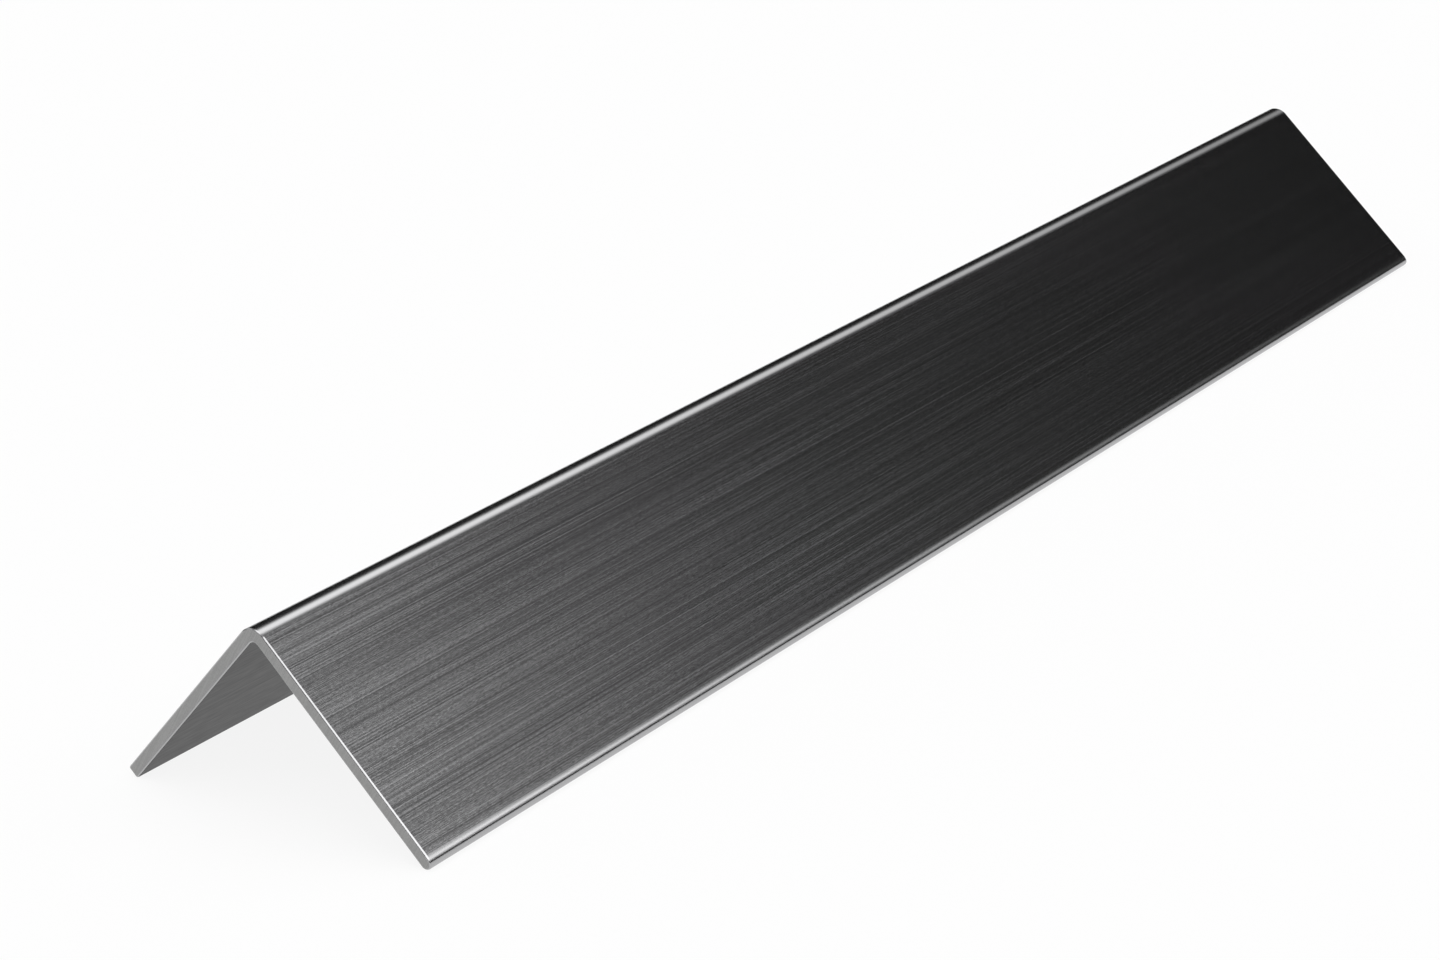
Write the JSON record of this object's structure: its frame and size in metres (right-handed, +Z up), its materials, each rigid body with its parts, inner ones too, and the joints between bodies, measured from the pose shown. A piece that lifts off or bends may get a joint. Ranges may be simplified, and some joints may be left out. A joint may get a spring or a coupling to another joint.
{
  "type": "corner trim profile",
  "caption": "Equal-leg angle trim bent from dark brushed sheet steel, with a small rounded bend and square-cut ends, for covering an outside wall corner.",
  "frame": {"origin": "middle of the length, half way between the two free edges, at the level of the floor that they stand on", "axes": "+X along the length, +Z up through the bend, and the leg with the rounded free edge on the -Y side"},
  "size_m": [0.21, 0.042, 0.0212],
  "materials": {
    "dark_brushed_steel": "dark grey steel, brushed in fine lines along its length, with a satin sheen and bright dressed edges"
  },
  "bodies": {
    "root": {"corner_trim": "dark_brushed_steel"}
  },
  "joints": []
}
